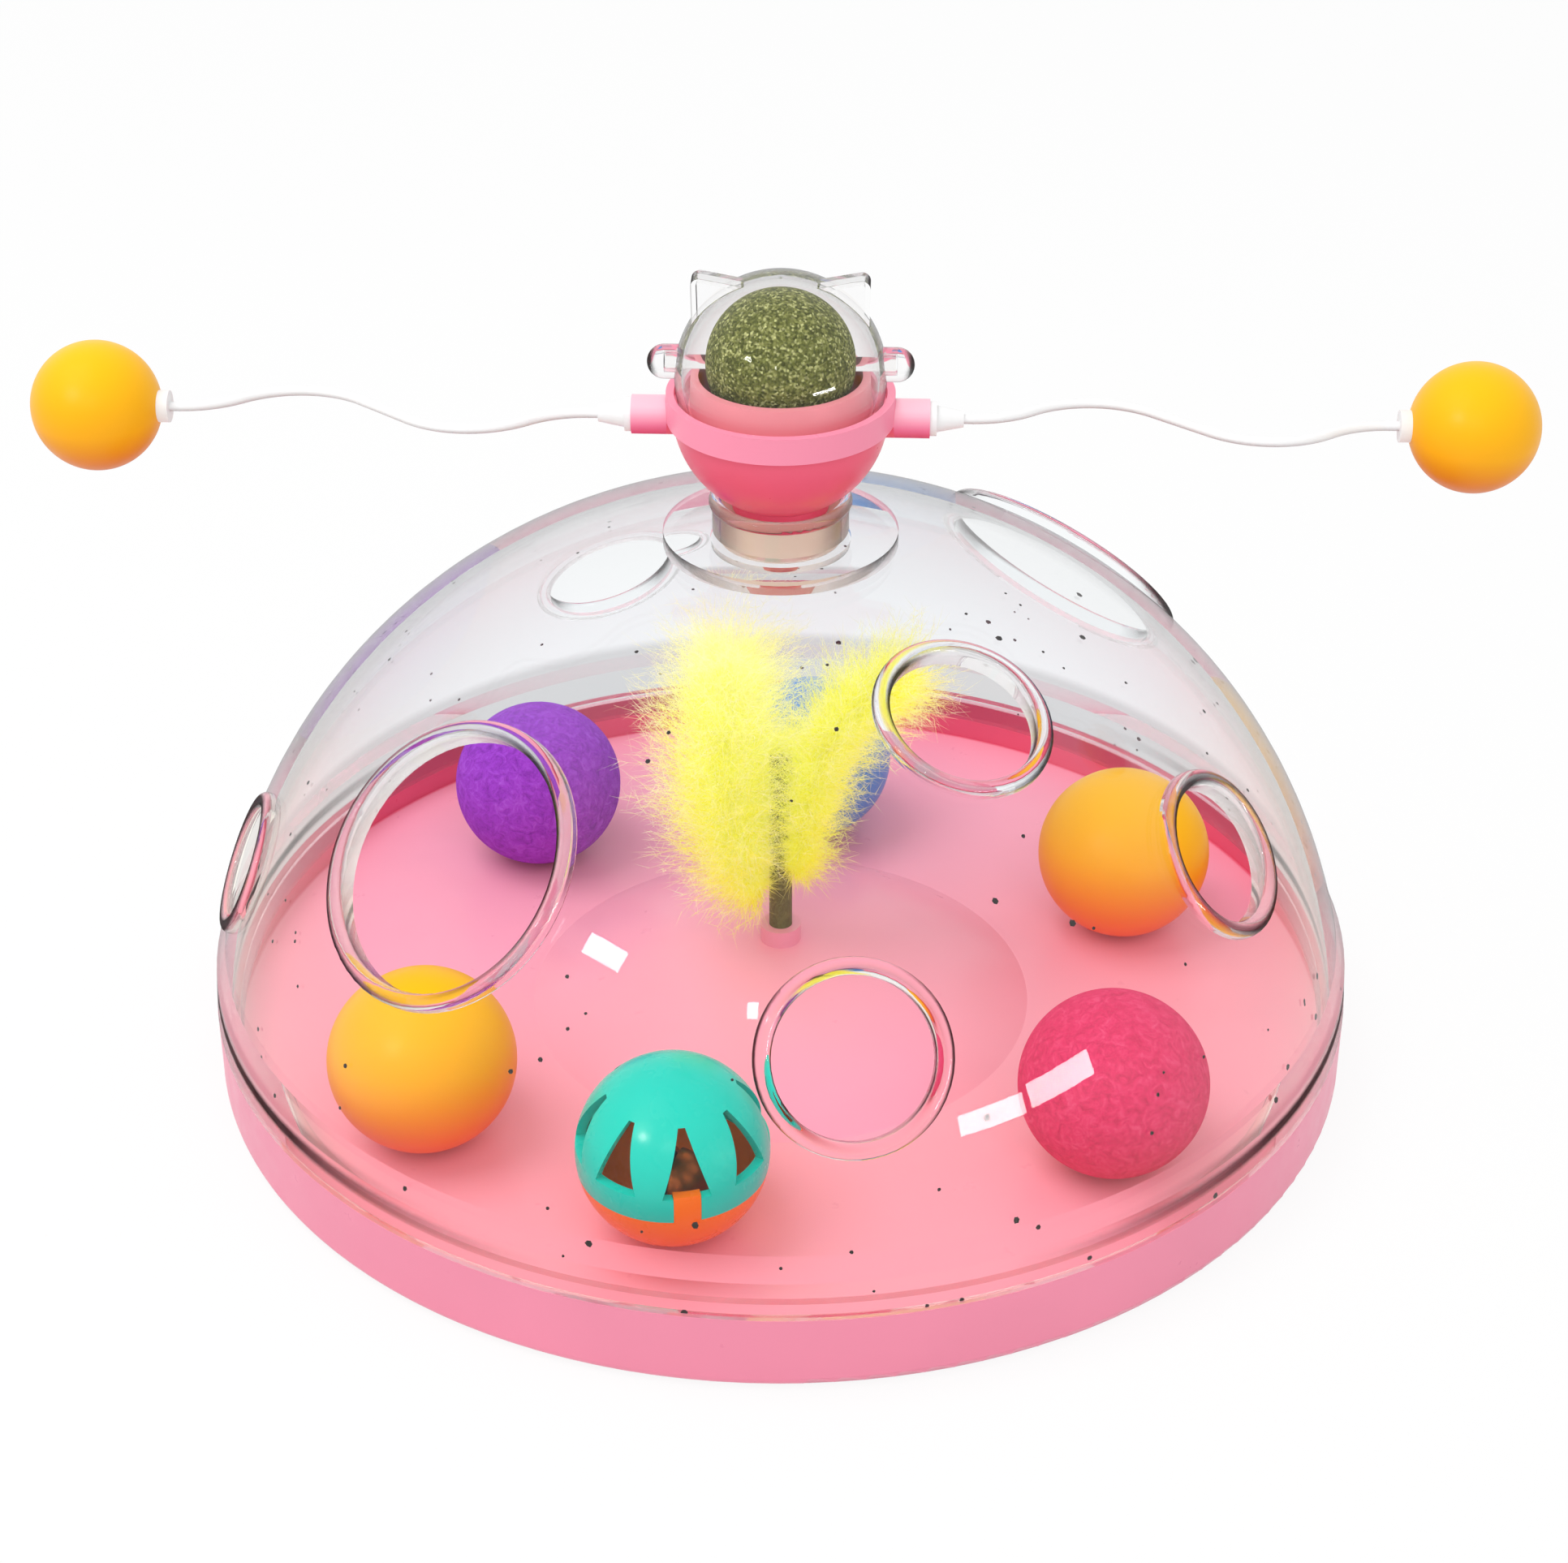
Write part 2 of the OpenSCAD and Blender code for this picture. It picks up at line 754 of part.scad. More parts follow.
// Bent wire in the arm's own frame: straight, S bend, straight
module bent_wire() {
    rod(wire_start, bend_start + lead_len, wire_r);
    translate([bend_start + lead_len, 0, 0]) {
        bead();
        wire_arc(bend_angle);
        after_arc(bend_angle) {
            bead();
            wire_arc(-2 * bend_angle);
            after_arc(-2 * bend_angle) {
                bead();
                rod(0, run_len, wire_r);
                translate([run_len, 0, 0]) {
                    bead();
                    wire_arc(2 * bend_angle);
                    after_arc(2 * bend_angle) {
                        bead();
                        wire_arc(-bend_angle);
                    }
                }
            }
        }
    }
    translate([bend_end - lead_len, 0, 0])
        bead();
    rod(bend_end - lead_len, wire_end, wire_r);
}

module wire_arm(right) {
    color(white)
    on_arm(right)
        bent_wire();
}

module arm_plug(right) {
    color(white)
    on_arm(right)
    difference() {
        union() {
            rod(stub_x - tail_len + plug_fit, stub_x, tail_r);
            rod(stub_x, taper_start, plug_flange_r);
            rod(taper_start, taper_end, taper_r, taper_tip_r);
        }
        rod(wire_start, bend_start, wire_r);
    }
}

module ball_collar(right) {
    face_x = ball_x - spin_ball_r;
    color(white)
    on_arm(right)
    difference() {
        union() {
            difference() {
                rod(face_x - hub_t, face_x + hub_r, hub_r);
                translate([ball_x, 0, 0])
                    sphere(spin_ball_r);
            }
            rod(face_x - hub_t / 2, face_x + hub_tail_len, hub_tail_r);
        }
        rod(bend_end, wire_end, wire_r);
    }
}

module spinner_ball(right) {
    color(yellow)
    on_arm(right)
    difference() {
        translate([ball_x, 0, 0])
            sphere(spin_ball_r);
        rod(ball_x - 2 * spin_ball_r, ball_x - spin_ball_r + hub_tail_len + plug_fit, hub_tail_r + plug_fit);
    }
}

// Places a child at a track ball's centre
module on_track(at) {
    rotate([0, 0, at[1]])
        translate([at[0] * tray_in_r, 0, ball_z])
            children();
}

module hollow_ball(at, tint) {
    color(tint)
    on_track(at)
    difference() {
        sphere(track_ball_r);
        sphere(track_ball_r - ball_wall);
    }
}

module felt_ball(at, tint) {
    color(tint)
    on_track(at)
        sphere(track_ball_r);
}

// Shell of the bell ball between two heights
module bell_half(low, high) {
    intersection() {
        difference() {
            sphere(track_ball_r);
            sphere(bell_in_r);
        }
        translate([0, 0, low])
            cylinder(h = high - low, r = 2 * track_ball_r);
    }
}

// Window prism, wide below and narrow above, cut outwards from the ball's middle
module bell_window(turn) {
    rotate([0, 0, turn])
        rotate([90, 0, 90])
            linear_extrude(2 * track_ball_r)
                polygon([[-window_low_w / 2, band_top], [window_low_w / 2, band_top],
                         [window_top_w / 2, window_rise], [-window_top_w / 2, window_rise]]);
}

// Tab of the lower half under one window, grown by gap
module bell_tab(turn, gap) {
    rotate([0, 0, turn])
        translate([0, -tab_w / 2 - gap, bell_split - tab_root])
            cube([2 * track_ball_r, tab_w + 2 * gap, band_top + tab_rise - bell_split + tab_root + gap]);
}

module bell_ball_top() {
    color([0.16, 0.80, 0.73])
    on_track(bell_at)
    difference() {
        bell_half(bell_split, track_ball_r);
        for (i = [0 : window_count - 1])
            bell_window(first_window + i * 360 / window_count);
        for (i = [0, window_count / 2])
            bell_tab(first_window + floor(i) * 360 / window_count, plug_fit);
    }
}

module bell_ball_bottom() {
    color([0.98, 0.43, 0.12])
    on_track(bell_at) {
        bell_half(-track_ball_r, bell_split);
        intersection() {
            bell_half(bell_split - tab_root, band_top + tab_rise);
            for (i = [0, window_count / 2])
                bell_tab(first_window + floor(i) * 360 / window_count, 0);
        }
    }
}

module jingle_bell() {
    slot = 1.6;
    color([0.85, 0.68, 0.30])
    on_track(bell_at)
    translate([0, 0, jingle_z])
        difference() {
            sphere(jingle_r);
            sphere(jingle_r - jingle_wall);
            translate([-2 * jingle_r, -slot / 2, 0])
                cube([4 * jingle_r, slot, 2 * jingle_r]);
        }
}

module bell_pellet() {
    color([0.6, 0.6, 0.62])
    on_track(bell_at)
    translate([0, 0, pellet_z])
        sphere(pellet_r);
}

module feather_stick() {
    color([0.35, 0.35, 0.18])
    translate([0, 0, stick_z])
        cylinder(h = stick_top - stick_z, r = stick_r);
}

// Soft tuft of length len with its foot at the origin, widest in the middle
module spindle(len) {
    steps = 12;
    rotate_extrude($fn = 48)
        polygon([for (i = [0 : steps])
            let (t = i / steps)
            [2 * tuft_w * t * (1 - t), len * t]]);
}

module tuft_left_form() {
    translate([-tuft_foot_x, 0, tuft_foot_z])
        rotate([0, -lean_left, 0])
            spindle(tuft_left_len);
}

module feather_tuft_left() {
    color([0.96, 0.96, 0.30])
    difference() {
        tuft_left_form();
        cylinder(h = stick_top + eps, r = stick_r);
    }
}

module feather_tuft_right() {
    color([0.96, 0.96, 0.30])
    difference() {
        translate([tuft_foot_x, 0, tuft_foot_z])
            rotate([0, lean_right, 0])
                spindle(tuft_right_len);
        tuft_left_form();
        cylinder(h = stick_top + eps, r = stick_r);
    }
}

base_tray();
anti_slip_feet();
dome_shell();
neck_bush();
spinner_bowl();
catnip_cradle();
catnip_ball();
catnip_axle();
cat_ear_cover();
arm_plug(false);  // arm_plug_left
arm_plug(true);  // arm_plug_right
wire_arm(false);  // wire_arm_left
wire_arm(true);  // wire_arm_right
ball_collar(false);  // ball_collar_left
ball_collar(true);  // ball_collar_right
spinner_ball(false);  // spinner_ball_left
spinner_ball(true);  // spinner_ball_right
hollow_ball(yellow_front_at, yellow);  // yellow_ball_front
hollow_ball(yellow_right_at, yellow);  // yellow_ball_right
felt_ball(magenta_at, [0.93, 0.30, 0.50]);  // magenta_ball
felt_ball(purple_at, [0.62, 0.27, 0.78]);  // purple_ball
hollow_ball(blue_at, [0.40, 0.62, 0.88]);  // blue_ball
bell_ball_top();
bell_ball_bottom();
jingle_bell();
bell_pellet();
feather_stick();
feather_tuft_left();
feather_tuft_right();
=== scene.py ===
import json
import math
import random

import bpy
import numpy as np
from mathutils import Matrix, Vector

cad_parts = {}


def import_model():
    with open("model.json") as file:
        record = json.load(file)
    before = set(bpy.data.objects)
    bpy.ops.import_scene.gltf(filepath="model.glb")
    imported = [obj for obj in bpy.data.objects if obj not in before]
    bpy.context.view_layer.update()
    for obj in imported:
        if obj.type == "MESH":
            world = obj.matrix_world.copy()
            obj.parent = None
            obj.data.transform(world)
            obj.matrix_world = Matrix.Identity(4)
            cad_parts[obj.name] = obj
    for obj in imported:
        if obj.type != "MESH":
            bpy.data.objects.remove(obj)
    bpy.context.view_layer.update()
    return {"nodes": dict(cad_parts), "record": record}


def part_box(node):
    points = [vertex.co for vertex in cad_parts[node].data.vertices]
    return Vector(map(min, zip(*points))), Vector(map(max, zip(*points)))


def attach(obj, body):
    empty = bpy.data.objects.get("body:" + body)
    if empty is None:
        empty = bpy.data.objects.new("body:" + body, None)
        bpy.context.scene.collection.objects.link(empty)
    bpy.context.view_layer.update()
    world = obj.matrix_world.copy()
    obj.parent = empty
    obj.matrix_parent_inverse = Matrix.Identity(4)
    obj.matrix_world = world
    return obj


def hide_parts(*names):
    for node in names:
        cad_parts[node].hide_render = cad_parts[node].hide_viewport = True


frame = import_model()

NODES = frame["nodes"]
RECORD = frame["record"]
MM = 0.001


def box_mm(node):
    """A node's lowest and highest corner, in millimetres."""
    return [[v / MM for v in corner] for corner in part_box(node)]


# Sizes in mm; those that no box gives repeat the part's own
TRAY_R = box_mm("base_tray")[1][0]
TRAY_WALL = 2.6
DOME_LEDGE = 0.4
DOME_RISE = 107.0
DOME_X = 6.7
DOME_WALL = 2.8
# A height just above the dome's skirt
SKIRT_TOP = 34.0
# Crown disc and collar, above the top of the dome's arc
NECK_H = 9.7
BUSH_R = box_mm("neck_bush")[1][0]
BUSH_TOP = box_mm("neck_bush")[1][2]
BAND_R = box_mm("spinner_bowl")[1][1]
BAND_H = 5.7
BOWL_TOP = box_mm("spinner_bowl")[1][2]
COVER_R = box_mm("cat_ear_cover")[1][1]
# Height of the middle of the cover's round wall above the bowl's mouth
COVER_RISE = 3.4

# The dome's outer face is an arc turned about the upright axis, with its middle DOME_X off that axis
DOME_ARC_R = ((TRAY_R - DOME_LEDGE - DOME_X) ** 2 + DOME_RISE ** 2) / (2 * DOME_RISE)
DOME_Z = box_mm("dome_shell")[1][2] - NECK_H - DOME_ARC_R

CLEAR_IOR = 1.46
# Facing value past which a ray inside clear plastic can't refract out
TRAP_FACING = 1 - math.sqrt(1 - 1 / CLEAR_IOR ** 2)
# Share of such rays that goes straight out, and the number of bounces after which every ray does
TRAP_SHARE = 0.65
MOST_BOUNCES = 3.5
# Tint of what goes straight through
PASS_TINT = (0.985, 0.98, 0.975, 1.0)

# Lines on clear plastic, painted dark reflections: their colours, and the values over which they fade in
OUTLINE_INK = (0.42, 0.42, 0.43, 1.0)
OUTLINE_FACING = (0.7, 0.96)
FLANK_INK = (0.03, 0.025, 0.025, 1.0)
FLANK_LINE = 0.95
FLANK_TURN = (0.35, 0.8)
THIN_FACING = (0.36, 0.66)
WIDE_FACING = (0.14, 0.34)
# Start, full width and end of the band on the skirt where painted dark reflections are drawn, as shares of
# SKIRT_TOP
SKIRT_BAND = (0.64, 0.68, 0.73, 0.77)
# How far off the cover's wall its ears and knobs count as such, in mm
EAR_STEP = (0.1, 0.4)
# How strong the neck's lines are against the rims', and how far round the bush it reaches, in mm
NECK_LINE = 0.5
NECK_REACH = 3.0

WHITE_LIGHT = (1.0, 1.0, 1.0, 1.0)
BLACK = (0.0, 0.0, 0.0, 1.0)


def srgb(r, g, b):
    """Linear colour from 0-255 display values."""
    out = []
    for v in (r, g, b):
        v /= 255.0
        out.append(v / 12.92 if v <= 0.04045 else ((v + 0.055) / 1.055) ** 2.4)
    return (*out, 1.0)


def grey(k):
    """A grey of linear value k."""
    return (k, k, k, 1.0)


def shade(color, k):
    """A colour made darker by the factor k."""
    return (color[0] * k, color[1] * k, color[2] * k, 1.0)


class Nodes:
    """Short calls that add nodes to one shader tree."""

    def __init__(self, tree):
        self.tree = tree

    def node(self, kind, **settings):
        n = self.tree.nodes.new(kind)
        for key, value in settings.items():
            setattr(n, key, value)
        return n

    def link(self, a, b):
        self.tree.links.new(a, b)

    def feed(self, value, socket):
        """Sets a plain value on a socket, or links an output to it."""
        if isinstance(value, (tuple, float)):
            socket.default_value = value
        else:
            self.link(value, socket)

    def calc(self, operation, a, b=0.0):
        n = self.node("ShaderNodeMath", operation=operation)
        self.feed(a, n.inputs[0])
        self.feed(b, n.inputs[1])
        return n.outputs[0]

    def span(self, fac, low, high, to_low=0.0, to_high=1.0):
        """A value that goes from to_low to to_high while fac goes from low to high, and stays there."""
        n = self.node("ShaderNodeMapRange")
        for key, value in zip(("From Min", "From Max", "To Min", "To Max"), (low, high, to_low, to_high)):
            n.inputs[key].default_value = value
        self.link(fac, n.inputs["Value"])
        return n.outputs["Result"]

    def split(self, vector):
        """The X, Y and Z outputs of a vector."""
        n = self.node("ShaderNodeSeparateXYZ")
        self.link(vector, n.inputs[0])
        return n.outputs

    def blend(self, fac, a, b):
        """Shader a where fac is 0, and shader b where it is 1."""
        n = self.node("ShaderNodeMixShader")
        self.feed(fac, n.inputs[0])
        self.link(a, n.inputs[1])
        self.link(b, n.inputs[2])
        return n.outputs[0]

    def seen(self):
        """1 for rays from the camera, also by gloss or through a clear wall, and 0 for light."""
        path = self.node("ShaderNodeLightPath").outputs
        carried = self.calc("MAXIMUM", path["Is Glossy Ray"], path["Is Transmission Ray"])
        return self.calc("MAXIMUM", path["Is Camera Ray"], carried)


class Mat(Nodes):
    """A material built round one Principled shader, with textures in the part's own coordinates."""

    def __init__(self, name, color, rough, gloss=0.5, **sockets):
        self.mat = bpy.data.materials.new(name)
        self.mat.use_nodes = True
        super().__init__(self.mat.node_tree)
        self.bsdf = self.tree.nodes["Principled BSDF"]
        self.out = self.tree.nodes["Material Output"]
        sockets.update(Base_Color=color, Roughness=rough, Specular_IOR_Level=gloss)
        for key, value in sockets.items():
            self.bsdf.inputs[key.replace("_", " ")].default_value = value
        self.coord = self.node("ShaderNodeTexCoord").outputs["Object"]

    def noise(self, scale, detail=3.0, rough=0.5, distortion=0.0):
        """Cloudy noise; scale is in features per metre."""
        n = self.node("ShaderNodeTexNoise")
        n.inputs["Scale"].default_value = scale
        n.inputs["Detail"].default_value = detail
        n.inputs["Roughness"].default_value = rough
        n.inputs["Distortion"].default_value = distortion
        self.link(self.coord, n.inputs["Vector"])
        return n.outputs["Fac"]

    def voronoi(self, scale, output):
        """Random cells; scale is in cells per metre."""
        n = self.node("ShaderNodeTexVoronoi")
        n.inputs["Scale"].default_value = scale
        self.link(self.coord, n.inputs["Vector"])
        return n.outputs[output]

    def value(self, name):
        """A value that the mesh carries at its vertices."""
        return self.node("ShaderNodeAttribute", attribute_name=name).outputs["Fac"]

    def axis(self, name):
        """X, Y or Z, or R for the distance from the part's upright axis."""
        if name != "R":
            return self.split(self.coord)[name]
        flat = self.node("ShaderNodeVectorMath", operation="MULTIPLY")
        flat.inputs[1].default_value = (1.0, 1.0, 0.0)
        self.link(self.coord, flat.inputs[0])
        length = self.node("ShaderNodeVectorMath", operation="LENGTH")
        self.link(flat.outputs[0], length.inputs[0])
        return length.outputs["Value"]

    def ramp(self, fac, stops):
        """A colour that changes with fac; stops are (value, colour)."""
        n = self.node("ShaderNodeValToRGB")
        elements = n.color_ramp.elements
        while len(elements) < len(stops):
            elements.new(0.5)
        for element, (position, color) in zip(elements, stops):
            element.position = position
            element.color = color
        self.link(fac, n.inputs["Fac"])
        return n.outputs["Color"]

    def mix(self, fac, a, b, kind="MIX"):
        """Colour a where fac is 0, and colour b, or a mixed with it by kind, where fac is 1."""
        n = self.node("ShaderNodeMix", data_type="RGBA", blend_type=kind)
        for value, key in ((fac, 0), (a, 6), (b, 7)):
            self.feed(value, n.inputs[key])
        return n.outputs[2]

    def see_through(self, color):
        n = self.node("ShaderNodeBsdfTransparent")
        self.feed(color, n.inputs["Color"])
        return n.outputs[0]

    def color(self, socket):
        self.link(socket, self.bsdf.inputs["Base Color"])

    def rough(self, socket):
        self.link(socket, self.bsdf.inputs["Roughness"])

    def bump(self, height, strength, depth, over=None, invert=False):
        """Bumps up to depth in metres, on top of the bumps in over."""
        n = self.node("ShaderNodeBump", invert=invert)
        n.inputs["Strength"].default_value = strength
        n.inputs["Distance"].default_value = depth
        self.link(height, n.inputs["Height"])
        if over is not None:
            self.link(over, n.inputs["Normal"])
        self.link(n.outputs["Normal"], self.bsdf.inputs["Normal"])
        return n.outputs["Normal"]

    def surface(self, shader):
        self.link(shader, self.out.inputs["Surface"])


def by(axis, low, high, stops):
    """A colour for painted light and shade that changes along an axis from low to high, in mm; stops are
    (share of the way, colour).
    """
    def painted_shading(m):
        return m.ramp(m.span(m.axis(axis), low * MM, high * MM), stops)
    return painted_shading


def by_height(node, stops):
    """A colour for painted light and shade that changes up a node's own height."""
    low, high = box_mm(node)
    return by("Z", low[2], high[2], stops)


def plastic(name, color, rough=0.28, vary=0.05, grain=0.03, gloss=0.5, painted_shading=None):
    """Moulded plastic: slight flow variation, uneven gloss and a faint orange-peel skin.

    The last argument gives painted light and shade: a colour that changes over the piece, in place of one
    colour.
    """
    m = Mat(name, color, rough, gloss)
    base = painted_shading(m) if painted_shading else color
    flow = m.ramp(m.noise(22.0, detail=2.0, distortion=0.6), [(0.3, grey(1 - vary)), (0.7, WHITE_LIGHT)])
    m.color(m.mix(1.0, base, flow, "MULTIPLY"))
    m.rough(m.span(m.noise(160.0, detail=4.0, rough=0.6), 0.3, 0.7, rough - 0.05, rough + 0.07))
    m.bump(m.noise(900.0, detail=2.0), grain, 0.4 * MM)
    return m.mat


def felt(name, color, dark, light):
    """Short matted wool: fine fibre mottling, soft bumps and sheen."""
    m = Mat(name, color, 0.95, gloss=0.1, Sheen_Weight=0.35, Sheen_Roughness=0.45, Sheen_Tint=light)
    clumps = m.noise(380.0, detail=5.0, rough=0.7, distortion=1.2)
    fibres = m.noise(1900.0, detail=4.0, rough=0.75, distortion=2.5)
    base = m.ramp(clumps, [(0.28, dark), (0.52, color), (0.78, light)])
    m.color(m.mix(m.span(fibres, 0.35, 0.75, 0.0, 0.4), base, light))
    low = m.bump(clumps, 0.55, 0.8 * MM)
    m.bump(fibres, 0.5, 0.4 * MM, low)
    return m.mat


def low_zone(m, low_z, high_z, full_y, none_y):
    """1 below low_z and beyond full_y, fading to 0 at high_z and at none_y, all in mm."""
    below = m.span(m.axis("Z"), low_z * MM, high_z * MM, 1.0, 0.0)
    beyond = m.span(m.axis("Y"), full_y * MM, none_y * MM, 1.0, 0.0)
    return m.calc("MULTIPLY", below, beyond)


def dome_marks(m):
    """The rim value of the dome's mesh, and 1 on a band of its skirt: where painted dark reflections go."""
    start, full, fall, end = SKIRT_BAND
    stops = [(0.0, BLACK), (start, BLACK), (full, WHITE_LIGHT), (fall, WHITE_LIGHT), (end, BLACK)]
    return m.calc("MAXIMUM", m.value("rim"), by("Z", 0, SKIRT_TOP, stops)(m))


def cover_marks(m):
    """1 on the cover's ears and knobs, which stand off its round wall, and 0 on the wall."""
    near, far = EAR_STEP
    reach = m.node("ShaderNodeVectorMath", operation="DISTANCE")
    m.link(m.coord, reach.inputs[0])
    reach.inputs[1].default_value = (0.0, 0.0, (BOWL_TOP + COVER_RISE) * MM)
    return m.span(reach.outputs["Value"], (COVER_R + near) * MM, (COVER_R + far) * MM)


def flank_lines(m, shape, facing, marks):
    """How dark the flank lines are, from 0 to 1, on the parts of the piece that marks gives.

    The lines are painted dark reflections, as of two dark studio cards: a thin line lies where the wall faces
    either side, and a wide one where it faces away from the toy's middle.
    """
    across = m.split(shape["Normal"])["X"]
    outward = m.calc("MULTIPLY", across, m.calc("SIGN", m.split(shape["Position"])["X"]))
    sideways = m.calc("ABSOLUTE", across)
    thin = m.calc("MULTIPLY", m.span(sideways, *FLANK_TURN, 0.0, FLANK_LINE), m.span(facing, *THIN_FACING))
    wide = m.calc("MULTIPLY", m.span(outward, *FLANK_TURN, 0.0, FLANK_LINE), m.span(facing, *WIDE_FACING))
    return m.calc("MULTIPLY", m.calc("MAXIMUM", thin, wide), marks(m))


def clear(name, tint, edge, line, rough, marks=None, zones=()):
    """Clear moulded plastic: refracts, greys as painted shade where the wall is seen edge-on, lets lamp light
    through.

    edge is (facing, grey) pairs, from a wall seen square on at 0 to one seen edge-on at 1.
    line is how dark the outline is, from 0 to 1: there the wall shows a painted grey reflection in place of a
    white one.
    marks gives where on the piece flank lines, painted dark reflections, are drawn.
    zones is (limits of a low zone, its tint) pairs; these tints are painted light and shade.
    A ray caught inside the wall goes straight out, most often at once and else after a few bounces,
    so thick edges stay light.
    """
    m = Mat(name, tint, rough, Transmission_Weight=1.0, IOR=CLEAR_IOR, Specular_Tint=grey(0.35))
    base = tint
    for limits, color in zones:
        base = m.mix(low_zone(m, *limits), base, color)
    layer = m.node("ShaderNodeLayerWeight")
    layer.inputs["Blend"].default_value = 0.5
    facing = layer.outputs["Facing"]
    m.color(m.mix(1.0, base, m.ramp(facing, [(at, grey(k)) for at, k in edge]), "MULTIPLY"))
    m.rough(m.span(m.noise(60.0), 0.3, 0.75, rough, rough + 0.02))
    m.bump(m.noise(30.0, detail=1.0), 0.004, 2.0 * MM)

    path = m.node("ShaderNodeLightPath").outputs
    shape = m.node("ShaderNodeNewGeometry").outputs
    trapped = m.calc("MULTIPLY", shape["Backfacing"], m.calc("GREATER_THAN", facing, TRAP_FACING))
    late = m.calc("GREATER_THAN", path["Ray Depth"], MOST_BOUNCES)
    straight = m.calc("MAXIMUM", m.calc("MULTIPLY", trapped, TRAP_SHARE), late)
    light = m.calc("MAXIMUM", path["Is Shadow Ray"], path["Is Diffuse Ray"])
    lines = m.span(facing, *OUTLINE_FACING, 0.0, line)
    ink = OUTLINE_INK
    if marks:
        dark = flank_lines(m, shape, facing, marks)
        lines = m.calc("MAXIMUM", lines, dark)
        ink = m.mix(dark, OUTLINE_INK, FLANK_INK)
    lined = m.blend(lines, m.bsdf.outputs[0], m.see_through(ink))
    m.surface(m.blend(m.calc("MAXIMUM", straight, light), lined, m.see_through(PASS_TINT)))
    return m.mat


def pressed_leaf(name):
    """Pressed dried leaf: pale and dark flakes, with painted shade in the rough pits between them."""
    m = Mat(name, srgb(132, 138, 74), 0.9, gloss=0.15)
    pick = m.node("ShaderNodeSeparateColor")
    m.link(m.voronoi(2000.0, "Color"), pick.inputs[0])
    flakes = m.ramp(pick.outputs[0], [(0.0, srgb(74, 80, 32)), (0.35, srgb(110, 116, 54)),
                                      (0.75, srgb(146, 150, 82)), (1.0, srgb(216, 218, 150))])
    pits = m.voronoi(1600.0, "Distance")
    # Painted shade: the pits between the flakes are darkened
    m.color(m.mix(m.span(pits, 0.35, 0.8, 0.0, 0.6), flakes, srgb(56, 60, 22)))
    low = m.bump(m.noise(700.0, detail=5.0, rough=0.7, distortion=1.0), 0.7, 0.8 * MM)
    m.bump(pits, 0.5, 0.5 * MM, low, invert=True)
    return m.mat


def brushed(name, color, rough):
    """Thin worked metal: uneven gloss and tone."""
    m = Mat(name, color, rough, Metallic=1.0)
    m.rough(m.span(m.noise(420.0, detail=4.0, rough=0.7), 0.3, 0.7, rough - 0.08, rough + 0.12))
    m.color(m.ramp(m.noise(120.0), [(0.3, shade(color, 0.7)), (0.7, color)]))
    m.bump(m.noise(700.0), 0.08, 0.3 * MM)
    return m.mat


def dyed_wood(name):
    """Dyed stick with a wavy grain."""
    m = Mat(name, srgb(92, 94, 44), 0.6)
    grain = m.noise(260.0, detail=4.0, rough=0.65, distortion=3.0)
    m.color(m.ramp(grain, [(0.3, srgb(70, 74, 30)), (0.7, srgb(116, 116, 60))]))
    m.bump(grain, 0.25, 0.5 * MM)
    return m.mat


def down(name):
    """Dyed down: deep yellow at the quill and paler at the tips; light also comes through it, and it glows
    faintly as painted light.
    """
    m = Mat(name, srgb(248, 248, 60), 0.9, gloss=0.05, Emission_Strength=0.19)
    base = m.ramp(m.value("reach"), [(0.0, srgb(236, 230, 24)), (0.5, srgb(247, 246, 46)),
                                     (0.8, srgb(252, 253, 140)), (1.0, srgb(255, 255, 226))])
    tone = m.mix(m.span(m.noise(150.0), 0.35, 0.7, 0.0, 0.2), base, srgb(234, 228, 26))
    m.color(tone)
    # Painted light: the down glows faintly in its own colour
    m.link(tone, m.bsdf.inputs["Emission Color"])
    glow = m.node("ShaderNodeBsdfTranslucent")
    m.link(tone, glow.inputs["Color"])
    m.surface(m.blend(0.45, m.bsdf.outputs[0], glow.outputs[0]))
    return m.mat


def bowl_shading(m):
    """Painted shade: deep pink below the bowl's band and pale on it; its side stubs shade from pale at the
    top to deep at the bottom.
    """
    bowl = by("Z", BUSH_TOP, BOWL_TOP - BAND_H, [(0.0, srgb(228, 66, 100)), (0.7, srgb(238, 92, 120)),
                                                 (0.98, srgb(240, 100, 128)), (1.0, srgb(247, 146, 173))])(m)
    stub = by_height("arm_plug_left", [(0.0, srgb(226, 50, 106)), (0.4, srgb(247, 128, 164)),
                                       (0.9, srgb(255, 196, 212))])(m)
    return m.mix(m.span(m.axis("R"), BAND_R * MM, (BAND_R + 0.2) * MM), bowl, stub)


# Painted light and shade on the tray: a pale floor lit from above, a deeper strip of painted shade up the
# inside of the wall, and the outer wall
TRAY_SHADING = by("R", TRAY_R - TRAY_WALL - 1, TRAY_R, [(0.0, srgb(252, 167, 192)), (0.2, srgb(236, 100, 132)),
                                                      (0.4, srgb(236, 100, 132)), (0.6, srgb(240, 142, 168))])
# Painted shade and bounce light: the spinner's yellow balls turn orange towards the bottom
ARM_BALL_SHADING = by_height("spinner_ball_left", [(0.0, srgb(208, 100, 24)), (0.2, srgb(232, 132, 14)),
                                                 (0.45, srgb(251, 174, 8)), (1.0, srgb(255, 194, 10))])
# Painted shade and pink bounce light: the track balls turn orange-red towards the bottom
TRACK_BALL_SHADING = by_height("yellow_ball_front", [(0.0, srgb(250, 84, 26)), (0.32, srgb(250, 132, 14)),
                                                   (0.67, srgb(254, 178, 2)), (1.0, srgb(254, 190, 6))])
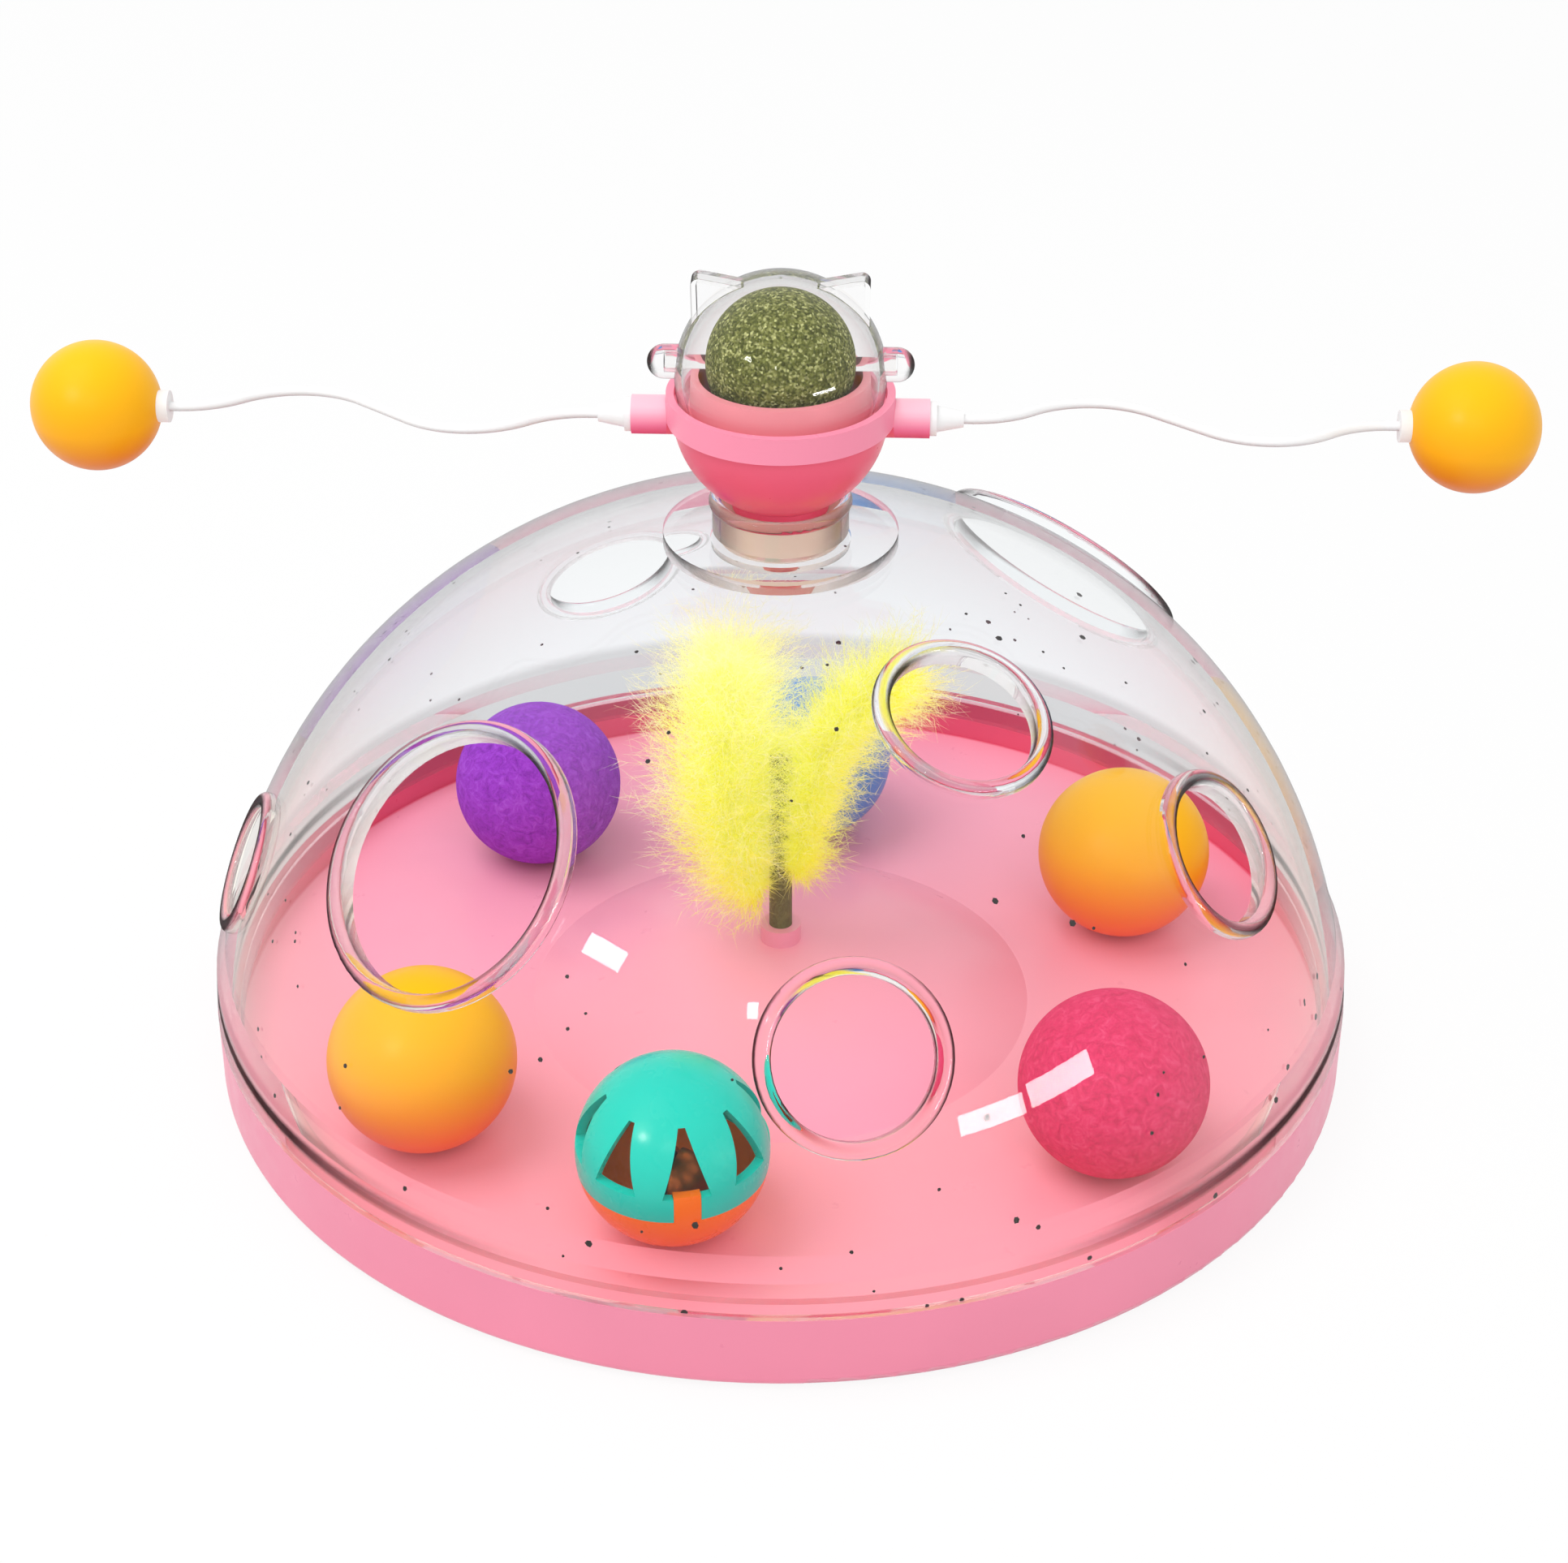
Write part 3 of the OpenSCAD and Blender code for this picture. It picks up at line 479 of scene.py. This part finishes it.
# Painted shade: the wires are grey underneath and white on top
WIRE_SHADING = by_height("wire_arm_left", [(0.0, srgb(186, 186, 186)), (0.6, srgb(240, 240, 240))])

# Painted light on the dome: its low front is tinted with the tray's warm colour as painted bounce light, and
# its rear skirt is greyed as painted shade
DOME_SHADING_ZONES = [((55, 100, -20, 50), (1.0, 0.955, 0.875, 1.0)),
              ((SKIRT_TOP, SKIRT_TOP + 3, 30, -10), (0.7, 0.715, 0.72, 1.0))]
# Painted shade on clear plastic: how grey each part gets where its wall is seen edge-on, as (facing, grey)
# pairs
DOME_EDGE = [(0.38, 1.0), (0.93, 0.74), (0.99, 0.4)]
COVER_EDGE = [(0.15, 1.0), (0.6, 0.78), (0.92, 0.55), (0.99, 0.25)]
AXLE_EDGE = [(0.6, 1.0), (0.98, 0.6)]

PINK = plastic("pink_plastic", srgb(250, 160, 188), rough=0.32, gloss=0.3, painted_shading=TRAY_SHADING)
PINK_BOWL = plastic("pink_bowl_plastic", srgb(244, 120, 150), rough=0.32, gloss=0.3, painted_shading=bowl_shading)
PINK_CRADLE = plastic("pink_cradle_plastic", srgb(244, 150, 160), rough=0.32, gloss=0.3)
CLEAR_DOME = clear("clear_dome_plastic", (0.945, 0.965, 0.975, 1.0), DOME_EDGE, line=0.7, rough=0.004,
                   marks=dome_marks, zones=DOME_SHADING_ZONES)
CLEAR_COVER = clear("clear_cover_plastic", grey(0.985), COVER_EDGE, line=0.85, rough=0.004, marks=cover_marks)
CLEAR_AXLE = clear("clear_axle_plastic", grey(0.97), AXLE_EDGE, line=0.4, rough=0.02)
YELLOW = plastic("yellow_plastic", srgb(252, 174, 10), rough=0.36, vary=0.04, grain=0.05, gloss=0.22,
                 painted_shading=ARM_BALL_SHADING)
YELLOW_TRACK = plastic("yellow_track_plastic", srgb(254, 178, 4), rough=0.4, vary=0.04, grain=0.05, gloss=0.2,
                       painted_shading=TRACK_BALL_SHADING)
BLUE = plastic("blue_plastic", srgb(80, 146, 224), rough=0.36, gloss=0.25)
TEAL = plastic("teal_plastic", srgb(8, 214, 200), rough=0.25, gloss=0.3)
ORANGE = plastic("orange_plastic", srgb(255, 122, 8), gloss=0.3)
WHITE = plastic("white_plastic", srgb(240, 240, 240), rough=0.35)
WIRE = plastic("wire_coat", srgb(230, 230, 230), rough=0.4, vary=0.04, grain=0.08, painted_shading=WIRE_SHADING)
BEIGE = plastic("beige_plastic", srgb(228, 204, 184), rough=0.5, grain=0.06, gloss=0.25)
RUBBER = plastic("pad_rubber", srgb(214, 212, 210), rough=0.75, vary=0.06, grain=0.3)
MAGENTA = felt("magenta_felt", srgb(238, 52, 112), srgb(206, 34, 84), srgb(250, 100, 150))
PURPLE = felt("purple_felt", srgb(156, 60, 208), srgb(114, 36, 162), srgb(188, 106, 236))
CATNIP = pressed_leaf("catnip")
COPPER = brushed("bell_metal", srgb(206, 112, 62), rough=0.38)
STEEL = brushed("pellet_steel", srgb(150, 150, 154), rough=0.35)
STICK = dyed_wood("dyed_stick")
PLUME = down("yellow_plume")
FLECK = plastic("dark_fleck", srgb(30, 26, 26), rough=0.5)

LOOKS = {
    "base_tray": PINK, "anti_slip_feet": RUBBER, "dome_shell": CLEAR_DOME, "neck_bush": BEIGE,
    "spinner_bowl": PINK_BOWL, "catnip_cradle": PINK_CRADLE, "catnip_ball": CATNIP, "catnip_axle": CLEAR_AXLE,
    "cat_ear_cover": CLEAR_COVER, "arm_plug_left": WHITE, "arm_plug_right": WHITE, "wire_arm_left": WIRE,
    "wire_arm_right": WIRE, "ball_collar_left": WHITE, "ball_collar_right": WHITE,
    "spinner_ball_left": YELLOW, "spinner_ball_right": YELLOW, "yellow_ball_front": YELLOW_TRACK,
    "yellow_ball_right": YELLOW_TRACK, "magenta_ball": MAGENTA, "purple_ball": PURPLE, "blue_ball": BLUE,
    "bell_ball_top": TEAL, "bell_ball_bottom": ORANGE, "jingle_bell": COPPER, "bell_pellet": STEEL,
    "feather_stick": STICK,
}


def dress_nodes():
    """Gives the CAD nodes that show their materials."""
    for node, mat in LOOKS.items():
        materials = NODES[node].data.materials
        materials.clear()
        materials.append(mat)


def add(name, data):
    """A new object in the scene."""
    obj = bpy.data.objects.new(name, data)
    bpy.context.scene.collection.objects.link(obj)
    return obj


def mesh_piece(name, verts, faces, mat, body, smooth=True):
    """A new mesh that rides on a body."""
    mesh = bpy.data.meshes.new(name)
    mesh.from_pydata(verts, [], faces)
    mesh.materials.append(mat)
    if smooth:
        mesh.polygons.foreach_set("use_smooth", [True] * len(mesh.polygons))
    obj = add(name, mesh)
    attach(obj, body)
    return obj


# A vertex is on one of the dome's two arcs if it is this near to it, in mm, and a corner of a face belongs to
# the arc's face if the cosine between its normal and the arc's is above this
ARC_SLACK = 0.06
ARC_COSINE = 0.9985
# Lowest height of the rims, in mm
RIM_LOW = SKIRT_TOP + 4


def smooth_dome():
    """The dome's own mesh with true normals on its two curved faces, so that it refracts without ripples.

    Its rim value is 1 on the rims and the crown disc, which stand off those faces, less on the neck,
    and 0 elsewhere.
    """
    mesh = NODES["dome_shell"].data.copy()
    obj = add("clear_dome", mesh)
    points = np.empty(len(mesh.vertices) * 3)
    mesh.vertices.foreach_get("co", points)
    corner = np.empty(len(mesh.loops), int)
    mesh.loops.foreach_get("vertex_index", corner)
    normals = np.empty(len(mesh.loops) * 3)
    mesh.corner_normals.foreach_get("vector", normals)
    normals = normals.reshape(-1, 3)

    x, y, z = points.reshape(-1, 3).T / MM
    rho = np.hypot(x, y)
    off_axis = 1 - DOME_X / rho
    arm = np.stack([x * off_axis, y * off_axis, z - DOME_Z], axis=1)
    length = np.linalg.norm(arm, axis=1)
    true = (arm / length[:, None])[corner]
    cosine = (normals * true).sum(axis=1)
    rim = np.where(rho < BUSH_R + NECK_REACH, NECK_LINE, 1.0) * (z > RIM_LOW)
    for radius, way in ((DOME_ARC_R, 1), (DOME_ARC_R - DOME_WALL, -1)):
        on_arc = abs(length - radius) < ARC_SLACK
        on_face = on_arc[corner] & (cosine * way > ARC_COSINE)
        normals[on_face] = true[on_face] * way
        rim[on_arc] = 0.0
    mesh.attributes.new("rim", "FLOAT", "POINT").data.foreach_set("value", rim)
    mesh.normals_split_custom_set(normals)
    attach(obj, "dome")
    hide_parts("dome_shell")
    return obj


# Plumes are made of strips, with these widths in mm at the root, that get narrower by the share TAPER
QUILL_W = 1.1
BARB_W = 0.18
HAIR_W = 0.09
TAPER = 0.8
QUILL_STRIPS = 3
QUILL_STEPS = 12
# Share of the quill to either side of a point over which its direction is taken
QUILL_NEAR = 0.02
# Barbs: bends along one, lean off the quill in degrees, curl in radians a bend, and how they wander
BENDS = 3
BARB_LEAN = (28, 78)
BARB_CURL = (-0.14, 0.16)
BARB_DRIFT = 0.1225
BARB_JITTER = 0.12
# How far barbs stand out, as shares of the plume's half width; a power makes the far ones rare
BARB_OUT = (0.25, 1.2)
BARB_RARE = 1.6
# Longest barb, as a share of the same
BARB_LONGEST = 1.6
# Share of the quill, from its foot up, where barbs on the outer side lean more, by radians at the very foot,
# and those on the inner side are shorter, by a share there
FOOT = 0.2
FOOT_LEAN = (0.2, 1.0)
FOOT_SHORT = 0.6
# Hairs on a barb: their number, the part of the barb they grow on, their length in mm and how they wander
HAIRS = 8
HAIR_SPAN = (0.2, 1.0)
HAIR_LENGTH = (2.0, 5.5)
HAIR_JITTER = 0.7
# Reach values, which make down pale: at the quill's tip, and at the tips of the lowest barbs
QUILL_REACH = 0.2
BARB_REACH = 0.85
FEW = 1.0

# Tips of the plumes bend over below the spinner's stem, and a little higher beside it, so that they clear the
# stem and the neck when the feather lifts
FEATHER_LIFT = next(joint["range_m"][1] for joint in RECORD["behaviour"]["joints"]
                    if joint["name"] == "feather_lift")
TIP_ROOM = 1.0 * MM
TIP_BEND = 6.0 * MM
TIP_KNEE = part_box("spinner_bowl")[0][2] - FEATHER_LIFT - TIP_ROOM - TIP_BEND
STEM_ROOM = 6.0 * MM
NECK_ROOM = 4.0 * MM


def under_neck(p):
    """A plume point, bent down where it would come near the stem or the neck."""
    knee = TIP_KNEE + min(max(math.hypot(p.x, p.y) - STEM_ROOM, 0.0), NECK_ROOM)
    if p.z <= knee:
        return p
    return Vector((p.x, p.y, knee + TIP_BEND * (1 - math.exp((knee - p.z) / TIP_BEND))))


def bezier(points, t):
    """The point at t, from 0 to 1, on the curve with these four control points."""
    a, b, c, d = points
    s = 1 - t
    return a * s ** 3 + b * (3 * s * s * t) + c * (3 * s * t * t) + d * t ** 3


def between(values, t):
    """The value at t, from 0 to 1, along evenly spaced values."""
    at = t * (len(values) - 1)
    k = min(int(at), len(values) - 2)
    return values[k] + (values[k + 1] - values[k]) * (at - k)


def feather(name, path, count, width_mm, pale, seed, node):
    """Marabou plume: a quill with long soft barbs all round it, each with fine hairs along it.

    path is the quill's curve in mm and width_mm the plume's widths along it, both from foot to tip.
    count is its number of barbs, and pale how much paler it gets towards its tip.
    """
    rng = random.Random(seed)
    path = [Vector(p) * MM for p in path]
    verts = []
    faces = []
    reach = []

    def wander():
        return Vector((rng.gauss(0, 1), rng.gauss(0, 1), rng.gauss(0, 1)))

    def ribbon(points, width, first, last):
        """A tapering strip along points, its flat side turned at random, with reach from first to last."""
        start = len(verts)
        turn = wander()
        end = len(points) - 1
        for i, p in enumerate(points):
            along = (points[min(i + 1, end)] - points[max(i - 1, 0)]).normalized()
            side = along.cross(turn).normalized() * (width * (1 - TAPER * i / end) / 2)
            verts.extend((under_neck(p - side), under_neck(p + side)))
            reach.extend((first + (last - first) * i / end,) * 2)
            if i:
                k = start + 2 * i
                faces.append((k - 2, k - 1, k + 1, k))

    def barb(t):
        """A barb that grows from the quill at t, with its hairs."""
        root = bezier(path, t)
        behind = bezier(path, max(t - QUILL_NEAR, 0.0))
        tangent = (bezier(path, min(t + QUILL_NEAR, 1.0)) - behind).normalized()
        around = rng.uniform(0, 2 * math.pi)
        u = tangent.orthogonal().normalized()
        out = u * math.cos(around) + tangent.cross(u) * math.sin(around)
        half = between(width_mm, t) / 2 * MM
        lean = math.radians(rng.uniform(*BARB_LEAN))
        spread = between(BARB_OUT, rng.random() ** BARB_RARE)
        length = min(half * spread / math.sin(lean), half * BARB_LONGEST)
        low = max(0.0, 1 - t / FOOT)
        if out.x * path[-1].x > 0:
            lean += low * rng.uniform(*FOOT_LEAN)
        else:
            length *= 1 - FOOT_SHORT * low
        curl = rng.uniform(*BARB_CURL)
        drift = wander() * BARB_DRIFT
        first = pale * t * t
        last = min(1.0, BARB_REACH + pale * t)
        points = [root]
        for i in range(BENDS):
            angle = lean - curl * i
            step = out * math.sin(angle) + tangent * math.cos(angle) + drift * i + wander() * BARB_JITTER
            points.append(points[-1] + step.normalized() * (length / BENDS))
        ribbon(points, BARB_W * MM, first, last)
        for _ in range(HAIRS):
            at = rng.uniform(*HAIR_SPAN)
            k = min(int(at * BENDS), BENDS - 1)
            foot = points[k].lerp(points[k + 1], at * BENDS - k)
            along = (points[k + 1] - points[k]).normalized()
            way = (along + wander() * HAIR_JITTER).normalized()
            tip = foot + way * rng.uniform(*HAIR_LENGTH) * MM
            ribbon([foot, tip], HAIR_W * MM, between((first, last), at), last)

    quill = [bezier(path, i / QUILL_STEPS) for i in range(QUILL_STEPS + 1)]
    for _ in range(QUILL_STRIPS):
        ribbon(quill, QUILL_W * MM, 0.0, QUILL_REACH)
    for _ in range(int(count * FEW)):
        barb(rng.random())
    obj = mesh_piece(name, verts, faces, PLUME, "feather")
    obj.data.attributes.new("reach", "FLOAT", "POINT").data.foreach_set("value", reach)
    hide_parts(node)


# Flecks in the dome's wall: radii in mm and how uneven they are, half thickness in mm, turn in radians,
# and the sines of the slopes they lie at
FLECKS = 170
FLECK_SEED = 5
FLECK_R = (0.32, 0.38, 0.45, 0.55, 0.75)
FLECK_UNEVEN = (0.75, 1.15)
FLECK_HALF = 0.12
FLECK_SIDES = 6
FLECK_TURN = 0.3
FLECK_RISE = (0.1, 0.97)
# Clear radius round a paw hole: this share of its opening's box, and this much more for the rim, in mm
HOLE_SHARE = 1.15
RIM_ROOM = 2.0


def paw_holes():
    """Middle of each paw hole and the radius to keep clear round it, in mm, from the record's openings."""
    for opening in RECORD["physics"]["openings"]:
        if opening["name"].startswith("paw_hole"):
            low, high = (Vector(corner) / MM for corner in opening["box_m"])
            yield (low + high) / 2, HOLE_SHARE * (high.x - low.x) + RIM_ROOM


def on_dome(turn, slope, r):
    """A point in mm, by its turn round the dome's axis and its slope and distance from the arc's middle."""
    rho = DOME_X + r * math.cos(slope)
    return Vector((rho * math.cos(turn), rho * math.sin(turn), DOME_Z + r * math.sin(slope)))


def dome_flecks():
    """Tiny dark flakes that lie inside the dome's wall, clear of its holes and rims."""
    rng = random.Random(FLECK_SEED)
    arc_r = DOME_ARC_R - DOME_WALL / 2
    holes = list(paw_holes())
    verts = []
    faces = []
    while len(verts) < FLECKS * FLECK_SIDES * 2:
        turn = math.radians(rng.uniform(-180, 180))
        slope = math.asin(rng.uniform(*FLECK_RISE))
        p = on_dome(turn, slope, arc_r)
        if any((p - middle).length < r for middle, r in holes):
            continue
        normal = (on_dome(turn, slope, arc_r + 1) - p).normalized()
        u = normal.orthogonal().normalized()
        v = normal.cross(u)
        size = rng.choice(FLECK_R)
        low = len(verts)
        high = low + FLECK_SIDES
        for h in (-FLECK_HALF, FLECK_HALF):
            for i in range(FLECK_SIDES):
                a = i * 2 * math.pi / FLECK_SIDES + FLECK_TURN
                r = size * rng.uniform(*FLECK_UNEVEN)
                verts.append((p + u * (r * math.cos(a)) + v * (r * math.sin(a)) + normal * h) * MM)
        faces.append(tuple(reversed(range(low, high))))
        faces.append(tuple(range(high, high + FLECK_SIDES)))
        for i in range(FLECK_SIDES):
            j = (i + 1) % FLECK_SIDES
            faces.append((low + i, low + j, high + j, high + i))
    obj = mesh_piece("dome_flecks", verts, faces, FLECK, "dome", smooth=False)


# Half the floor's width, in metres
FLOOR_HALF = 6.0
# How white the floor is where it is seen, over the shadow on it
FLOOR_WHITE = 0.9
# Level of the studio's light on the object; where it is seen, it is white
AMBIENT = 0.75


def floor_mat():
    """Plain white floor; to the camera and in gloss it is white, with a soft shadow."""
    m = Mat("floor", grey(0.86), 0.9, gloss=0.0)
    m.color(m.ramp(m.noise(3.0), [(0.3, grey(0.85)), (0.7, grey(0.87))]))
    glow = m.node("ShaderNodeEmission")
    m.surface(m.blend(m.calc("MULTIPLY", m.seen(), FLOOR_WHITE), m.bsdf.outputs[0], glow.outputs[0]))
    return m.mat


def floor():
    mesh = bpy.data.meshes.new("floor")
    s = FLOOR_HALF
    mesh.from_pydata([(-s, -s, 0), (s, -s, 0), (s, s, 0), (-s, s, 0)], [], [(0, 1, 2, 3)])
    mesh.materials.append(floor_mat())
    obj = add("floor", mesh)


def world():
    """Even white studio light from all round."""
    studio = bpy.data.worlds.new("studio")
    studio.use_nodes = True
    bpy.context.scene.world = studio
    w = Nodes(studio.node_tree)
    back = w.tree.nodes["Background"]
    back.inputs["Color"].default_value = WHITE_LIGHT
    w.link(w.span(w.seen(), 0.0, 1.0, AMBIENT, 1.0), back.inputs["Strength"])


def lamp(name, place, aim, size, power, glint=False, only=None):
    """Area lamp: either soft light that shows in no reflection, or a glint that shows only in gloss.

    place, aim and size are in metres and power in watts; only is the one piece that the lamp shows on.
    """
    data = bpy.data.lights.new(name, "AREA")
    data.shape = "RECTANGLE"
    data.size, data.size_y = size
    data.energy = power
    obj = add(name, data)
    obj.location = place
    obj.rotation_euler = (Vector(aim) - Vector(place)).to_track_quat("-Z", "Y").to_euler()
    obj.visible_glossy = glint
    obj.visible_diffuse = not glint
    obj.visible_transmission = False
    if only:
        group = bpy.data.collections.new(name + "_on")
        group.objects.link(only)
        obj.light_linking.receiver_collection = group


# The camera that was fitted to the photo: its place in metres, how far it looks down in degrees, and its
# focal length and shift in the photo's pixels
CAMERA_PLACE = (0.0, -0.6017, 0.4297)
CAMERA_DOWN = 31.31
FOCAL_PX = 3901.0
SHIFT_PX = 4.1
PHOTO_W = 1932.0
SENSOR_W = 36.0


def camera():
    data = bpy.data.cameras.new("camera")
    data.sensor_fit = "HORIZONTAL"
    data.sensor_width = SENSOR_W
    data.lens = SENSOR_W * FOCAL_PX / PHOTO_W
    data.shift_x = SHIFT_PX / PHOTO_W
    data.clip_start = 0.01
    obj = add("camera", data)
    obj.location = CAMERA_PLACE
    obj.rotation_euler = (math.radians(90 - CAMERA_DOWN), 0, 0)
    bpy.context.scene.camera = obj


dress_nodes()
dome = smooth_dome()
feather("plume_left", [(-4, -2, 37), (-12.5, -3, 45), (-13, -3, 74), (-11, -2, 95)], count=7000,
        width_mm=(18, 36, 40, 35, 27), pale=0.9, seed=11, node="feather_tuft_left")
feather("plume_right", [(3, -2, 41), (7, -3, 62), (8, -3, 82), (26, -1, 90)], count=5000,
        width_mm=(13, 21, 26, 26, 22), pale=0.3, seed=23, node="feather_tuft_right")
feather("plume_middle", [(0, 2.5, 41), (-1, 3.5, 50), (-1, 3.5, 60), (0.5, 3, 70)], count=1800,
        width_mm=(11, 16, 18, 15), pale=0.2, seed=37, node="feather_tuft_left")
dome_flecks()
floor()
world()
cover = NODES["cat_ear_cover"]
lamp("key", (-0.6, -0.15, 1.25), (0, 0, 0.05), (0.9, 0.9), 7.5)
lamp("front", (0.1, -1.0, 1.1), (0, 0, 0.05), (0.9, 0.6), 4.0)
lamp("glint_left", (-0.744, -0.776, 0.925), (-0.034, -0.094, 0.082), (0.2, 0.1), 3.2, glint=True)
lamp("glint_front", (-0.124, -1.13, 0.865), (-0.005, -0.104, 0.076), (0.05, 0.08), 0.6, glint=True)
lamp("glint_bar", (0.266, -0.371, 0.11), (0.041, -0.109, 0.055), (0.095, 0.03), 0.4, glint=True, only=dome)
lamp("glint_block", (0.34, -0.296, 0.116), (0.055, -0.102, 0.057), (0.1, 0.035), 0.5, glint=True, only=dome)
lamp("glint_cover", (0.98, -0.94, 0.19), (0.0, 0.0, 0.165), (0.6, 0.07), 10.0, glint=True, only=cover)
camera()
bpy.context.scene.view_settings.view_transform = "Standard"
